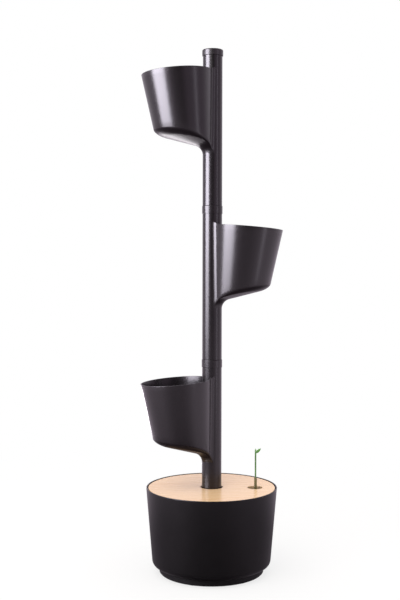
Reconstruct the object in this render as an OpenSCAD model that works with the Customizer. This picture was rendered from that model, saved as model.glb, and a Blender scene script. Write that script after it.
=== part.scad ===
// Self-watering planter tower: three round-walled pots, each moulded in one with its own
// length of tube, stacked on a water tub that is closed by a wooden lid.
// Millimetres, +Z up, origin on the ground under the middle of the tub.
// The low and top pots reach towards -X, the middle pot towards +X.

/* [Tub] */
// Radius of the tub at its rim
tub_top_r = 160; // [150:1:175]
// Radius that the straight wall would have at the underside
tub_low_r = 143.8; // [138:0.2:148]
// Height of the rim above the ground
tub_rim_z = 207; // [195:1:230]
// Height of the tub's underside above the ground
tub_under_z = 18; // [14:1:24]
// Thickness of the wall, the floor and the ribs
tub_wall = 3; // [2.5:0.25:4]
// Rounding between the wall and the underside
tub_corner_r = 14; // [8:1:20]
// Number of ribs inside the wall that carry the lid
lid_ribs = 12; // [8:1:16]
// How far each lid rib stands into the tub
lid_rib_reach = 9; // [7:1:12]

/* [Foot] */
// How far the foot ring lies in from the tub's underside
foot_inset = 16.8; // [15:0.2:24]
// Width of the foot ring
foot_w = 26; // [22:1:32]
// Wall of the foot ring
foot_wall = 3; // [2.5:0.25:4]
// Radius of a rubber pad under the foot ring
pad_r = 9; // [6:0.5:10]
// Thickness of a rubber pad
pad_h = 3; // [2.5:0.5:4]
// Number of rubber pads
pads = 6; // [4:1:8]

/* [Lid] */
// Thickness of the wooden lid
lid_t = 12; // [9:1:16]
// Gap between the lid and the tub's wall
lid_gap = 0.8; // [0.5:0.1:1.5]
// How far the lid lies below the rim
lid_sink = 1; // [0.5:0.5:3]
// Gap between the lid and the tower's tube
lid_tower_gap = 3; // [2:0.5:8]
// Radius of the finger and filling hole round the water gauge
lid_gauge_r = 18.2; // [14:0.2:22]
// How far that hole lies inwards of the gauge
lid_gauge_shift = 1.5; // [0:0.5:4]

/* [Tower tube] */
// Length of one module from seam to seam
module_h = 376; // [340:1:420]
// Height of the lowest seam, inside the tub
first_seam_z = 142; // [130:1:160]
// Outer radius of the tube
tube_r = 24; // [22:0.5:26]
// Wall of the tube
tube_wall = 2.2; // [1.8:0.1:2.6]
// Length of the spigot under each module
spigot_h = 40; // [30:1:50]
// Height of the turned-down seat at the top of each module
seat_h = 9; // [7:0.5:12]
// Depth of that seat
seat_depth = 0.8; // [0.6:0.1:1]

/* [Pot] */
// Farthest point of the pot's rim from the tower's axis
pot_reach = 175; // [150:1:190]
// Distance from the tower's axis to the back of the pot
pot_back = 1; // [0:0.5:4]
// Lean of the pot's front, in degrees
pot_lean = 12.9; // [8:0.1:16]
// Drop from a module's top to the pot's rim, on the tower's axis
rim_drop = 45; // [36:1:60]
// Forward tilt of the rim, in degrees
rim_tilt = 4.5; // [0:0.1:9]
// How far the rim climbs where it runs into the tube
rim_sweep = 5; // [0:0.5:8]
// Drop from a module's top to the underside, on the tower's axis
under_drop = 239; // [215:0.2:250]
// Slope of the underside, in degrees
under_tilt = 14.2; // [10:0.2:16]
// Rise of the underside towards its sides, as a share of the distance from the axis
under_crown_share = 0.28; // [0:0.02:0.36]
// Wall of the pot
pot_wall = 2.6; // [2.2:0.1:3.4]
// Rounding between the pot's wall and its underside
pot_corner_r = 11; // [7:0.5:16]
// Hollow rounding between the pot's wall and the tube
neck_r = 17; // [10:0.5:24]
// Hollow rounding between the pot's underside and the tube
under_r = 24; // [16:0.5:30]

/* [Pot inserts] */
// Height of the slotted false floor above the underside, on the tower's axis
grid_rise = 57; // [55:1:68]
// Thickness of the false floor
grid_t = 2.4; // [2:0.2:3.6]
// Distance between the middles of two slots
slot_pitch = 11; // [9:0.5:14]
// Width of a slot
slot_w = 3.2; // [2.4:0.2:4]
// Height of the curved screen in front of the drain window
screen_h = 24; // [22:1:28]
// Thickness of the screen
screen_t = 2.2; // [1.8:0.1:2.6]

/* [Joint trim] */
// How far the collar round a seam stands out from the tube
collar_step = 1.1; // [0.9:0.1:2.5]
// Length of that collar
collar_h = 19; // [14:1:24]
// How far the cap stands out from the tube
cap_step = 1.8; // [1.5:0.1:3]
// Height of the cap above the top seam
cap_rise = 6.5; // [5:0.5:9]

/* [Tower socket] */
// Radius of the socket's flange
flange_r = 48; // [44:1:54]
// Thickness of that flange
flange_t = 4; // [3:0.5:5]
// Radius of the circle that the screws stand on
screw_circle_r = 38; // [36:0.5:40]
// Radius of a screw's shank
screw_r = 2.5; // [2:0.25:3]
// Number of screws, and of gussets between them
screws = 4; // [3:1:6]

/* [Water gauge] */
// How far the gauge stands in from the tub's underside
gauge_inset = 36.3; // [32:0.1:46]
// Direction of the gauge from +X, in degrees
gauge_turn = -12; // [-30:1:30]
// Outer radius of the gauge's well
well_r = 15; // [13:0.5:16]
// Wall of the well
well_wall = 1.8; // [1.4:0.1:2.2]
// Radius of the guide's neck, which stands up through the lid
guide_r = 3.4; // [3:0.1:4.5]
// Height of the neck's top above the lid
guide_rise = 25; // [16:1:26]
// Radius of the indicator's rod
rod_r = 1.7; // [1.4:0.1:2.2]
// Height of the indicator's highest point above the lid, with the tub full
leaf_rise = 95; // [94:1:110]
// Travel of the float from full to empty
float_travel = 56; // [40:1:56]
// Height of the float
float_h = 36; // [26:1:40]

/* [Hidden] */
// Clearances and small sizes
slide_gap = 0.3;        // between pieces that lift or turn past each other
seat_gap = 0.05;        // between pieces that are pushed together and stay
over = 1;               // overrun of a cut past the face that it opens
edge = 0.8;             // small bevel on moulded edges
wood_edge = 1.2;        // bevel on the lid's edges
round_fn = 96;
well_fn = 64;
boss_fn = 48;
hole_fn = 32;
slot_fn = 24;

// Heights that several pieces share
seam_z = [for (k = [0:3]) first_seam_z + k * module_h];
tub_floor_z = tub_under_z + tub_wall;
lid_top_z = tub_rim_z - lid_sink;
lid_low_z = lid_top_z - lid_t;
seat_r = tube_r - seat_depth;
bore_r = tube_r - tube_wall;
spigot_r = bore_r - slide_gap;
spigot_bore_r = spigot_r - tube_wall;
collar_r = tube_r + collar_step;
cap_r = tube_r + cap_step;
foot_r = tub_low_r - foot_inset;
gauge_reach = tub_low_r - gauge_inset;
lid_tower_r = tube_r + lid_tower_gap;
lid_gauge_reach = gauge_reach - lid_gauge_shift;
guide_top_z = lid_top_z + guide_rise;
leaf_top_z = lid_top_z + leaf_rise;

// The tub's wall line
wall_tilt = atan((tub_top_r - tub_low_r) / (tub_rim_z - tub_under_z));
function tub_r(z) = tub_low_r + (z - tub_under_z) * tan(wall_tilt);
lid_r = tub_r(lid_low_z) - tub_wall / cos(wall_tilt) - lid_gap;
bend_c_z = tub_under_z + tub_corner_r;
bend_c_r = tub_r(bend_c_z) - tub_corner_r / cos(wall_tilt);
bend_steps = 12;
// A bend from the underside up to the wall, at a given radius about the corner's centre
function tub_bend(r) = [for (k = [0:bend_steps])
    let (a = -90 + k * (90 - wall_tilt) / bend_steps)
    [bend_c_r + r * cos(a), bend_c_z + r * sin(a)]];

// The tub's underside carries a spigot ring, bosses and ribs
locate_gap = slide_gap;
locate_r = foot_r - foot_w - locate_gap;
locate_h = 5;
boss_r = screw_r + tub_wall;
boss_h = 11;
under_rib_h = 6;
under_ribs = 8;

// Foot and pads
pad_sink = pad_h / 2;
foot_low_z = pad_h - pad_sink;
pad_circle_r = foot_r - foot_w / 2;
foot_ribs = 2 * pads;

// Socket
socket_band_h = collar_h;
window_w = 14;
window_h = 18;
gusset_h = 34;
head_r_share = 1.9;
head_h_share = 1.2;
screw_head_r = head_r_share * screw_r;
screw_head_h = head_h_share * screw_r;
screw_len = tub_wall + flange_t + boss_h - 3 * edge;

// Seal in the spigot's groove
seal_drop = 14;
seal_r = 0.8;
seal_gap = 0.05;
seal_mid_r = bore_r - seal_gap - seal_r;

// Water gauge
well_seat_wall = 2.7;
well_seat_h = 9;
well_bore_r = well_r - well_wall;
well_drop = 6;                    // gap between the well and the lid
well_top_z = lid_low_z - well_drop;
guide_plate_t = 3;
guide_plug_h = 7;
rod_gap = 0.4;
float_gap = 1;
guide_bore_r = rod_r + rod_gap;
float_r = well_bore_r - float_gap;
float_rest_gap = 2;
float_low_z = tub_floor_z + float_rest_gap + float_travel;
float_hole_share = 0.8;
float_hole_depth = float_h * float_hole_share;
well_slots = 4;
well_slot_w = 5;
well_slot_h = 30;
// The sprout on the rod: an upright leaf and one that leans out
fork_drop = 11;
leaf_t = 1.8;
upright_leaf = [fork_drop, 4];
side_leaf = [15, 5.6];
side_leaf_lean = 42;

// The pot, as a loft of level slices. A slice is a circle that always touches the same
// upright line at the back, blended into the tube by two hollow neck arcs, so its outline
// is a keyhole. s runs outwards from the tower's axis, along the pot.
bite = 0.7;                       // how deep the loft's neck is sunk into the tube
hold_r = tube_r - bite;
rim_axis_z = module_h - rim_drop;
rim_front_z = rim_axis_z - pot_reach * tan(rim_tilt);
under_axis_z = module_h - under_drop;
sweep_run = 20;
neck_steps = 6;
wall_steps = 56;
corner_steps = 4;
cavity_steps = 48;
slice_points = 2 * neck_steps + wall_steps + 1;
settle = 4;                       // passes that settle a point's height and radius together

// Radius of the level slice at height z
function slice_r(z) = (pot_reach - (rim_front_z - z) * tan(pot_lean) - pot_back) / 2;

// Point i on the keyhole outline whose pot circle has radius r
function keyhole(i, r) = i > neck_steps + wall_steps
    ? let (p = keyhole(slice_points - 1 - i, r)) [p.x, -p.y]
    : let (c = r + pot_back,
           fx = (pow(hold_r + neck_r, 2) - pow(r + neck_r, 2) + c * c) / (2 * c),
           fy = sqrt(pow(hold_r + neck_r, 2) - fx * fx),
           from_tube = atan2(-fy, -fx),
           to_pot = atan2(-fy, c - fx),
           span = atan2(fy, fx - c),
           a = i < neck_steps ? from_tube + (to_pot - from_tube) * i / neck_steps
                              : span * (1 - 2 * (i - neck_steps) / wall_steps))
      i < neck_steps ? [fx + neck_r * cos(a), fy + neck_r * sin(a)]
                     : [c + r * cos(a), r * sin(a)];

// Point i on the plain circle of the cavity
function circle_point(i, r) = let (a = -360 * i / cavity_steps)
    [r + pot_back + r * cos(a), r * sin(a)];

// Height of the rim over a point, climbing where it meets the tube
function rim_height(p) = let (run = max(0, norm(p) - tube_r) / sweep_run)
    rim_axis_z - p.x * tan(rim_tilt) + rim_sweep * pow(max(0, 1 - run), 2);

// Height of the sloping underside, which rises to its sides like a funnel, and how far the
// hollow rounding pulls it down the tube
function slope_height(p) = under_axis_z + p.x * tan(under_tilt)
    + under_crown_share * p.y * p.y / max(norm([p.x, p.y]), tube_r);
function under_height(p) =
    let (fall_end = hold_r + under_r * (1 - sin(under_tilt)),
         q = max(hold_r, min(norm(p), fall_end)),
         a = acos(1 - (q - hold_r) / under_r))
    slope_height(p) - under_r * (cos(under_tilt) - sin(a)) + (fall_end - q) * tan(under_tilt);

// A ring is [which height it follows, shift along Z, inset of its radius]
function ring_height(kind, p) = kind == "rim" ? rim_height(p)
    : kind == "brim" ? rim_axis_z - p.x * tan(rim_tilt)
    : kind == "under" ? under_height(p)
    : slope_height(p);
function ring_point(i, keyed, ring, z, n) =
    let (r = slice_r(z) - ring[2],
         p = keyed ? keyhole(i, r) : [circle_point(i, r).x + ring[2], circle_point(i, r).y],
         new_z = ring_height(ring[0], p) + ring[1])
    n == 0 ? [p.x, p.y, new_z] : ring_point(i, keyed, ring, new_z, n - 1);
function ring_points(keyed, ring) =
    [for (i = [0:(keyed ? slice_points : cavity_steps) - 1]) ring_point(i, keyed, ring, rim_front_z, settle)];

// A corner's rings, from the wall round to the floor
function corner_rings(kind, base, r, inset) = [for (k = [0:corner_steps])
    let (a = 90 * k / corner_steps) [kind, base + r * (1 - sin(a)), inset + r * (1 - cos(a))]];

// Rings that run in from the underside's edge to the tube
draw_in_shares = [0.5, 0.24, 0.16, 0.1, 0.06, 0.03, 0];
core_r = hold_r - tube_wall;
function drawn_in(p, share) = let (q = core_r + (norm([p.x, p.y]) - core_r) * share,
                                   m = [p.x, p.y] * q / norm([p.x, p.y]))
    [m.x, m.y, under_height(m)];

// Closed solid through rings of equal length, listed from the top down
module ring_loft(rings) {
    n = len(rings[0]);
    last = len(rings) - 1;
    mid_top = [for (c = [0:2]) let (v = [for (p = rings[0]) p[c]]) (min(v) + max(v)) / 2];
    mid_low = [for (c = [0:2]) let (v = [for (p = rings[last]) p[c]]) (min(v) + max(v)) / 2];
    points = concat([for (r = rings) for (p = r) p], [mid_top, mid_low]);
    top_index = n * (last + 1);
    faces = concat(
        [for (i = [0:n - 1]) [top_index, i, (i + 1) % n]],
        [for (k = [0:last - 1]) for (i = [0:n - 1]) let (j = (i + 1) % n)
            each [[k * n + j, k * n + i, (k + 1) * n + i], [k * n + j, (k + 1) * n + i, (k + 1) * n + j]]],
        [for (i = [0:n - 1]) [top_index + 1, last * n + (i + 1) % n, last * n + i]]);
    polyhedron(points, faces);
}

module pot_outside() {
    corner = corner_rings("under", 0, pot_corner_r, 0);
    foot_ring_points = ring_points(true, corner[corner_steps]);
    ring_loft(concat(
        [ring_points(true, ["rim", 0, edge]), ring_points(true, ["rim", -edge, 0])],
        [for (c = corner) ring_points(true, c)],
        [for (share = draw_in_shares) [for (p = foot_ring_points) drawn_in(p, share)]]));
}

// Height of the cavity's floor over a point, and rings that run in over it to its middle
function cavity_floor(p) = slope_height(p) + pot_wall;
floor_shares = [0.66, 0.33];
inner_corner_r = pot_corner_r - pot_wall;
module pot_cavity() {
    brim = rim_sweep + over;
    corner = [for (c = corner_rings("slope", pot_wall, inner_corner_r, pot_wall)) ring_points(false, c)];
    floor_ring = corner[corner_steps];
    mid_x = (min([for (p = floor_ring) p.x]) + max([for (p = floor_ring) p.x])) / 2;
    ring_loft(concat(
        [ring_points(false, ["brim", brim, pot_wall])], corner,
        [for (share = floor_shares) [for (p = floor_ring)
            let (m = [mid_x + (p.x - mid_x) * share, p.y * share]) [m.x, m.y, cavity_floor(m)]]]));
}

// The drain window's sill lies on the cavity's floor, in front of the tube
drain_w = 16;
drain_h = 12;
drain_z = cavity_floor([tube_r, drain_w / 2]);
module drain_window() {
    translate([bore_r - over, -drain_w / 2, drain_z]) cube([tube_wall + 2 * over, drain_w, drain_h]);
    translate([bore_r - over, 0, drain_z + drain_h]) rotate([0, 90, 0])
        cylinder(h = tube_wall + 2 * over, r = drain_w / 2, $fn = round_fn);
}

// Tube of one module with its spigot, seal groove and seat, turned in one profile
module tube_body() {
    groove_z = -seal_drop;
    rotate_extrude($fn = round_fn) polygon([
        [spigot_bore_r, -spigot_h], [spigot_r - edge, -spigot_h], [spigot_r, -spigot_h + 2 * edge],
        [spigot_r, groove_z - seal_r], [seal_mid_r - seal_r, groove_z - seal_r],
        [seal_mid_r - seal_r, groove_z + seal_r], [spigot_r, groove_z + seal_r],
        [spigot_r, 0], [tube_r - edge, 0], [tube_r, edge],
        [tube_r, module_h - seat_h], [seat_r, module_h - seat_h],
        [seat_r, module_h - edge / 2], [seat_r - edge / 2, module_h], [bore_r, module_h],
        [bore_r, 2 * tube_wall], [spigot_bore_r, tube_wall]]);
}

module pot_module() {
    difference() {
        union() {
            tube_body();
            difference() {
                pot_outside();
                translate([0, 0, under_axis_z - 2 * under_r])
                    cylinder(h = module_h, r = bore_r, $fn = round_fn);
            }
        }
        difference() {
            pot_cavity();
            cylinder(h = module_h, r = tube_r, $fn = round_fn);
        }
        drain_window();
    }
}

// Slotted false floor that keeps the soil above the water, with legs down to the cavity's floor
grid_z = under_axis_z + grid_rise;
grid_r = slice_r(grid_z) - pot_wall - slide_gap;
grid_c = slice_r(grid_z) + pot_back;
grid_rim = 7;
leg_r = 4;
leg_back_gap = 16;
leg_back_s = tube_r + leg_back_gap;
leg_side_share = 0.55;
leg_front_share = 0.72;
module pot_grid() {
    slot_rows = floor((grid_r - grid_rim) / slot_pitch);
    leg_places = [[leg_back_s, 0], [grid_c, leg_side_share * grid_r], [grid_c, -leg_side_share * grid_r],
                  [grid_c + leg_front_share * grid_r, 0]];
    difference() {
        translate([grid_c, 0, grid_z]) cylinder(h = grid_t, r = grid_r, $fn = round_fn);
        translate([0, 0, grid_z - over])
            cylinder(h = grid_t + 2 * over, r = tube_r + slide_gap, $fn = round_fn);
        for (row = [-slot_rows:slot_rows], end = [-1, 1]) {
            y = (row + 0.5) * slot_pitch;
            if (abs(y) < grid_r - grid_rim) {
                near = grid_c - sqrt(pow(grid_r - grid_rim, 2) - y * y);
                far = grid_c + sqrt(pow(grid_r - grid_rim, 2) - y * y);
                start = end < 0 ? max(near, tube_r + grid_rim) : grid_c + grid_rim / 2;
                stop = end < 0 ? grid_c - grid_rim / 2 : far;
                if (stop - start > 2 * slot_w)
                    translate([0, y, grid_z - over]) linear_extrude(grid_t + 2 * over) {
                        translate([start + slot_w / 2, -slot_w / 2]) square([stop - start - slot_w, slot_w]);
                        translate([start + slot_w / 2, 0]) circle(slot_w / 2, $fn = slot_fn);
                        translate([stop - slot_w / 2, 0]) circle(slot_w / 2, $fn = slot_fn);
                    }
            }
        }
    }
    intersection() {
        for (p = leg_places)
            translate([p.x, p.y, under_axis_z]) cylinder(h = grid_z - under_axis_z, r = leg_r, $fn = hole_fn);
        translate([0, 0, seat_gap]) pot_cavity();
    }
}

// Curved slotted screen that keeps soil out of the drain window
screen_half = 34;
screen_slots = 7;
screen_slot_w = 1.8;
module drain_screen() {
    low_z = cavity_floor([0, 0]);
    inner_r = tube_r + seat_gap;
    difference() {
        intersection() {
            translate([0, 0, low_z]) rotate(-screen_half)
                rotate_extrude(angle = 2 * screen_half, $fn = round_fn)
                    translate([inner_r, 0]) square([screen_t, drain_z - low_z + screen_h]);
            translate([0, 0, seat_gap]) pot_cavity();
        }
        for (k = [0:screen_slots - 1])
            rotate((k - (screen_slots - 1) / 2) * 2 * screen_half / (screen_slots + 1))
                translate([tube_r - over, -screen_slot_w / 2, drain_z + 2 * edge])
                    cube([screen_t + 2 * over, screen_slot_w, screen_h - 5 * edge]);
    }
}

// Seal ring in the groove of a spigot
module seal_ring() {
    translate([0, 0, -seal_drop]) rotate_extrude($fn = round_fn)
        translate([seal_mid_r, 0]) circle(seal_r - seat_gap, $fn = slot_fn);
}

// Collar round the top of a module, thick on the seat and drawn out thin over the tube
module seam_collar() {
    low_z = module_h - collar_h;
    step_z = module_h - seat_h;
    seat_in = seat_r + seat_gap;
    tube_in = tube_r + seat_gap;
    rotate_extrude($fn = round_fn) polygon([
        [tube_in, low_z], [tube_in + seat_depth / 2, low_z], [collar_r, low_z + 3 * edge],
        [collar_r, module_h - 2 * edge], [collar_r - edge, module_h], [seat_in, module_h],
        [seat_in, step_z + seat_gap], [tube_in, step_z + seat_gap]]);
}

// Places one level: level 0 and 2 reach towards -X, level 1 towards +X
module at_level(k) {
    translate([0, 0, seam_z[k]]) rotate(k == 1 ? 0 : 180) children();
}

module tub() {
    color([0.16, 0.15, 0.165]) {
        difference() {
            union() {
                rotate_extrude($fn = round_fn) polygon(concat(
                    [[0, tub_under_z]], tub_bend(tub_corner_r),
                    [[tub_r(tub_rim_z - edge), tub_rim_z - edge], [tub_r(tub_rim_z) - edge, tub_rim_z],
                     [tub_r(tub_rim_z) - tub_wall / cos(wall_tilt), tub_rim_z]],
                    [for (k = [bend_steps:-1:0]) tub_bend(tub_corner_r - tub_wall)[k]],
                    [[0, tub_floor_z]]));
                // lid ribs, cut to the wall's own line
                intersection() {
                    for (k = [0:lid_ribs - 1]) rotate((k + 0.5) * 360 / lid_ribs)
                        translate([0, -tub_wall / 2, tub_floor_z - tub_wall / 2])
                            cube([tub_top_r, tub_wall, lid_low_z - tub_floor_z + tub_wall / 2]);
                    rotate_extrude($fn = round_fn) polygon(concat(
                        [for (k = [0:bend_steps]) tub_bend(tub_corner_r - tub_wall / 2)[k]],
                        [[tub_r(lid_low_z) - tub_wall, lid_low_z],
                         [tub_r(lid_low_z) - tub_wall - lid_rib_reach, lid_low_z],
                         [bend_c_r - lid_rib_reach, tub_under_z + tub_wall / 2]]));
                }
                // seat for the gauge's well
                rotate(gauge_turn) translate([gauge_reach, 0, tub_floor_z - tub_wall / 2])
                    cylinder(h = well_seat_h + tub_wall / 2, r = well_r + well_seat_wall, $fn = boss_fn);
                // ring that centres the foot, and ribs inside it
                translate([0, 0, tub_under_z - locate_h]) difference() {
                    cylinder(h = locate_h + tub_wall / 2, r = locate_r, $fn = round_fn);
                    translate([0, 0, -over])
                        cylinder(h = locate_h + over, r = locate_r - tub_wall, $fn = round_fn);
                }
                for (k = [0:under_ribs - 1]) rotate((k + 0.5) * 360 / under_ribs)
                    translate([0, -tub_wall / 2, tub_under_z - under_rib_h])
                        cube([locate_r - tub_wall / 2, tub_wall, under_rib_h + tub_wall / 2]);
                // blind bosses for the socket's screws
                for (k = [0:screws - 1]) rotate(k * 360 / screws)
                    translate([screw_circle_r, 0, tub_under_z - boss_h])
                        cylinder(h = boss_h + tub_wall / 2, r = boss_r, $fn = hole_fn);
            }
            for (k = [0:screws - 1]) rotate(k * 360 / screws)
                translate([screw_circle_r, 0, tub_floor_z + flange_t - screw_len - edge])
                    cylinder(h = screw_len + 2 * over, r = screw_r + seat_gap, $fn = hole_fn);
            // the well's room, from the floor up past the ribs
            rotate(gauge_turn) translate([gauge_reach, 0, tub_floor_z])
                cylinder(h = lid_low_z - tub_floor_z + over, r = well_r + seat_gap, $fn = boss_fn);
        }
    }
}

module foot_ring() {
    in_r = foot_r - foot_w;
    color([0.13, 0.125, 0.135]) difference() {
        union() {
            rotate_extrude($fn = round_fn) polygon([
                [in_r, foot_low_z], [foot_r - 2 * edge, foot_low_z], [foot_r, foot_low_z + 2 * edge],
                [foot_r, tub_under_z], [foot_r - foot_wall, tub_under_z],
                [foot_r - foot_wall, foot_low_z + foot_wall], [in_r + foot_wall, foot_low_z + foot_wall],
                [in_r + foot_wall, tub_under_z], [in_r, tub_under_z]]);
            for (k = [0:foot_ribs - 1]) rotate((k + 0.5) * 360 / foot_ribs)
                translate([in_r + foot_wall / 2, -foot_wall / 2, foot_low_z + foot_wall / 2])
                    cube([foot_w - foot_wall, foot_wall, tub_under_z - foot_low_z - foot_wall]);
        }
        for (k = [0:pads - 1]) rotate(k * 360 / pads)
            translate([pad_circle_r, 0, 0]) cylinder(h = pad_h, r = pad_r + seat_gap, $fn = boss_fn);
    }
}

module foot_pads() {
    color([0.07, 0.07, 0.075]) for (k = [0:pads - 1]) rotate(k * 360 / pads)
        translate([pad_circle_r, 0, 0]) {
            cylinder(h = edge, r1 = pad_r - edge, r2 = pad_r, $fn = boss_fn);
            translate([0, 0, edge]) cylinder(h = pad_h - edge, r = pad_r, $fn = boss_fn);
        }
}

module tower_socket() {
    low_z = tub_floor_z;
    high_z = seam_z[0];
    color([0.2, 0.19, 0.205]) difference() {
        union() {
            rotate_extrude($fn = round_fn) polygon([
                [bore_r, low_z], [flange_r - edge, low_z], [flange_r, low_z + edge],
                [flange_r, low_z + flange_t], [tube_r, low_z + flange_t],
                [tube_r, high_z - socket_band_h], [collar_r, high_z - socket_band_h + edge],
                [collar_r, high_z - edge], [collar_r - edge, high_z], [bore_r, high_z]]);
            for (k = [0:screws - 1]) rotate((k + 0.5) * 360 / screws)
                rotate([90, 0, 0]) translate([0, 0, -tub_wall / 2]) linear_extrude(tub_wall)
                    polygon([[tube_r - tube_wall / 2, low_z + flange_t / 2],
                             [flange_r - 2 * edge, low_z + flange_t / 2],
                             [flange_r - 2 * edge, low_z + flange_t + edge],
                             [tube_r - tube_wall / 2, low_z + gusset_h]]);
        }
        for (k = [0:screws - 1]) rotate(k * 360 / screws) {
            translate([screw_circle_r, 0, low_z - over])
                cylinder(h = flange_t + 2 * over, r = screw_r + seat_gap, $fn = hole_fn);
            translate([0, -window_w / 2, low_z + flange_t]) cube([tube_r + over, window_w, window_h]);
            translate([0, 0, low_z + flange_t + window_h]) rotate([0, 90, 0])
                cylinder(h = tube_r + over, r = window_w / 2, $fn = boss_fn);
        }
    }
}

module socket_screws() {
    top_z = tub_floor_z + flange_t;
    color([0.72, 0.73, 0.75]) for (k = [0:screws - 1]) rotate(k * 360 / screws)
        translate([screw_circle_r, 0, top_z]) difference() {
            union() {
                translate([0, 0, -screw_len])
                    cylinder(h = screw_len + screw_head_h / 2, r = screw_r, $fn = hole_fn);
                cylinder(h = screw_head_h / 2, r = screw_head_r, $fn = hole_fn);
                translate([0, 0, screw_head_h / 2]) cylinder(h = screw_head_h / 2, r1 = screw_head_r,
                    r2 = screw_head_r - screw_head_h / 2, $fn = hole_fn);
            }
            for (a = [0, 90]) rotate(a) translate([-screw_r, -screw_r / 5, screw_head_h / 3])
                cube([2 * screw_r, 2 * screw_r / 5, screw_head_h]);
        }
}

module wood_lid() {
    color([0.9, 0.78, 0.62]) difference() {
        rotate_extrude($fn = round_fn) polygon([
            [lid_tower_r + wood_edge, lid_top_z], [lid_tower_r, lid_top_z - wood_edge],
            [lid_tower_r, lid_low_z + wood_edge], [lid_tower_r + wood_edge, lid_low_z],
            [lid_r - wood_edge, lid_low_z], [lid_r, lid_low_z + wood_edge],
            [lid_r, lid_top_z - wood_edge], [lid_r - wood_edge, lid_top_z]]);
        rotate(gauge_turn) translate([lid_gauge_reach, 0, lid_low_z]) {
            translate([0, 0, -over]) cylinder(h = lid_t + 2 * over, r = lid_gauge_r, $fn = round_fn);
            translate([0, 0, lid_t - wood_edge])
                cylinder(h = wood_edge + over, r1 = lid_gauge_r,
                    r2 = lid_gauge_r + wood_edge + over, $fn = round_fn);
        }
    }
}

module at_gauge() {
    rotate(gauge_turn) translate([gauge_reach, 0, 0]) children();
}

module gauge_well() {
    color([0.75, 0.76, 0.74]) at_gauge() difference() {
        translate([0, 0, tub_floor_z]) cylinder(h = well_top_z - tub_floor_z, r = well_r, $fn = well_fn);
        translate([0, 0, tub_floor_z - over])
            cylinder(h = well_top_z - tub_floor_z + 2 * over, r = well_bore_r, $fn = well_fn);
        for (k = [0:well_slots - 1]) rotate((k + 0.5) * 360 / well_slots)
            translate([0, -well_slot_w / 2, tub_floor_z + well_seat_h + 2 * edge])
                cube([well_r + over, well_slot_w, well_slot_h]);
    }
}

module gauge_guide() {
    color([0.42, 0.4, 0.22]) at_gauge() difference() {
        rotate_extrude($fn = well_fn) polygon([
            [guide_bore_r, well_top_z - guide_plug_h],
            [well_bore_r - seat_gap - edge, well_top_z - guide_plug_h],
            [well_bore_r - seat_gap, well_top_z - guide_plug_h + edge], [well_bore_r - seat_gap, well_top_z],
            [well_r, well_top_z], [well_r, well_top_z + guide_plate_t - edge],
            [well_r - edge, well_top_z + guide_plate_t], [guide_r + 2 * edge, well_top_z + guide_plate_t],
            [guide_r, well_top_z + guide_plate_t + 2 * edge], [guide_r, guide_top_z - edge],
            [guide_r - edge / 2, guide_top_z], [guide_bore_r, guide_top_z]]);
    }
}

module gauge_float() {
    color([0.86, 0.86, 0.83]) at_gauge() translate([0, 0, float_low_z]) difference() {
        rotate_extrude($fn = well_fn) polygon([
            [0, 0], [float_r - 2 * edge, 0], [float_r, 2 * edge], [float_r, float_h - 2 * edge],
            [float_r - 2 * edge, float_h], [0, float_h]]);
        translate([0, 0, float_h - float_hole_depth])
            cylinder(h = float_hole_depth + over, r = rod_r + seat_gap, $fn = hole_fn);
    }
}

// A leaf blade of a given length and width, pointed at both ends, standing up from the origin
module leaf_blade(size) {
    arc_r = (pow(size[0] / 2, 2) + pow(size[1] / 2, 2)) / size[1];
    translate([0, leaf_t / 2, size[0] / 2]) rotate([90, 0, 0]) linear_extrude(leaf_t) intersection() {
        translate([arc_r - size[1] / 2, 0]) circle(arc_r, $fn = round_fn);
        translate([size[1] / 2 - arc_r, 0]) circle(arc_r, $fn = round_fn);
    }
}

module level_indicator() {
    fork_z = leaf_top_z - fork_drop;
    rod_low_z = float_low_z + float_h - float_hole_depth;
    color([0.3, 0.55, 0.22]) at_gauge() {
        translate([0, 0, rod_low_z]) cylinder(h = fork_z + 2 * edge - rod_low_z, r = rod_r, $fn = hole_fn);
        translate([0, 0, fork_z]) {
            leaf_blade(upright_leaf);
            rotate([0, side_leaf_lean, 0]) leaf_blade(side_leaf);
        }
    }
}

module low_module() { color([0.17, 0.16, 0.175]) at_level(0) pot_module(); }
module mid_module() { color([0.17, 0.16, 0.175]) at_level(1) pot_module(); }
module top_module() { color([0.17, 0.16, 0.175]) at_level(2) pot_module(); }
module low_collar() { color([0.19, 0.18, 0.195]) at_level(0) seam_collar(); }
module mid_collar() { color([0.19, 0.18, 0.195]) at_level(1) seam_collar(); }
module low_seal() { color([0.05, 0.05, 0.05]) at_level(0) seal_ring(); }
module mid_seal() { color([0.05, 0.05, 0.05]) at_level(1) seal_ring(); }
module top_seal() { color([0.05, 0.05, 0.05]) at_level(2) seal_ring(); }
module low_grid() { color([0.3, 0.3, 0.31]) at_level(0) pot_grid(); }
module mid_grid() { color([0.3, 0.3, 0.31]) at_level(1) pot_grid(); }
module top_grid() { color([0.3, 0.3, 0.31]) at_level(2) pot_grid(); }
module low_screen() { color([0.35, 0.35, 0.36]) at_level(0) drain_screen(); }
module mid_screen() { color([0.35, 0.35, 0.36]) at_level(1) drain_screen(); }
module top_screen() { color([0.35, 0.35, 0.36]) at_level(2) drain_screen(); }

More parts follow.
